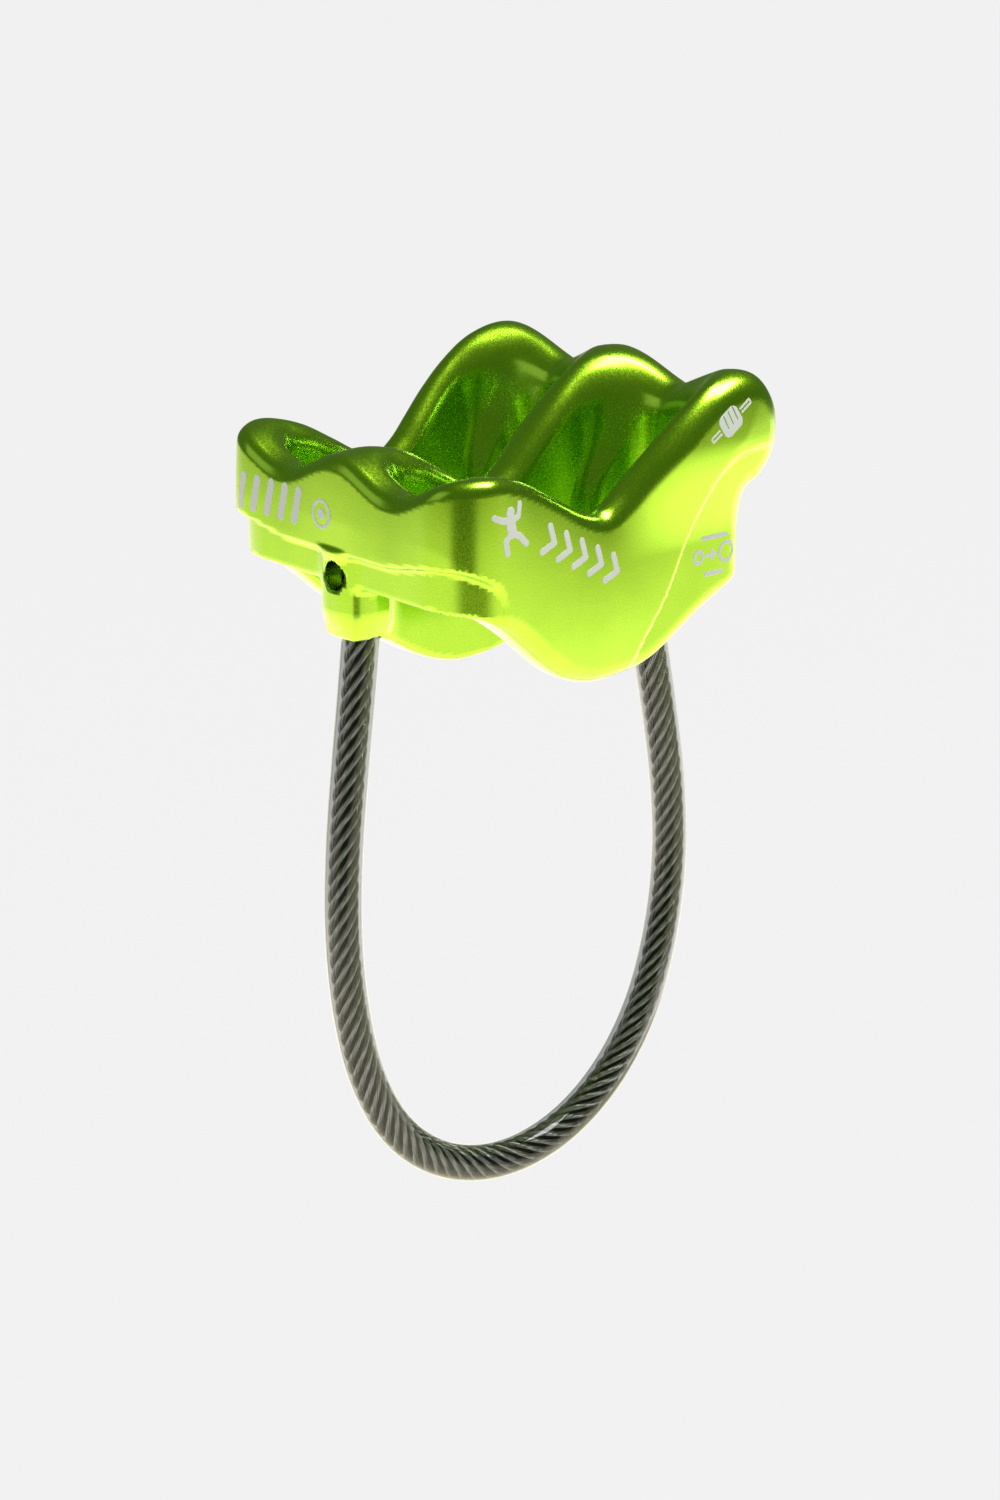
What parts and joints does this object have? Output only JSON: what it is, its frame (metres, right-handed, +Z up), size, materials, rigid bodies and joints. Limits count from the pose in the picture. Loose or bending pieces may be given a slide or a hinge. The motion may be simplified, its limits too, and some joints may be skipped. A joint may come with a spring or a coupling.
{
  "type": "tubular belay device",
  "caption": "Forged aluminium tubular belay device with twin rope slots, grooved brake side and a sheathed wire keeper loop.",
  "frame": {"origin": "carabiner seat: the point in the mirror plane under the lowest line of the three wall lobes, where the carabiner spine bears in use", "axes": "+X across the two rope slots, +Y from the low front wall to the high grooved brake wall, +Z up, away from the carabiner; the keeper loop hangs below the origin in the plane X = 0"},
  "size_m": [0.0396, 0.0518, 0.0927],
  "materials": {
    "anodised_body": "bead blasted and anodised lime green, satin gloss, fine grain",
    "rope_steel": "bright drawn strands, laid in a helix",
    "clear_jacket": "clear glossy extruded jacket, slightly smoky",
    "terminal_steel": "turned and swaged, satin",
    "pin_steel": "ground, faint turning marks on the ends"
  },
  "bodies": {
    "device": {"forged_body": "anodised_body", "front_terminal": "terminal_steel", "rear_terminal": "terminal_steel", "front_pin": "pin_steel", "rear_pin": "pin_steel"},
    "keeper": {"wire_rope": "rope_steel", "keeper_sheath": "clear_jacket"}
  },
  "joints": [
    {"name": "keeper_flex", "type": "hinge", "parent": "device", "child": "keeper", "pos_m": [0, 0.0036, 0.0035], "axis": [0, 1, 0], "range_deg": [-50, 50], "stiffness_Nm_per_rad": 0.3, "deforming": ["wire_rope", "keeper_sheath"]}
  ]
}
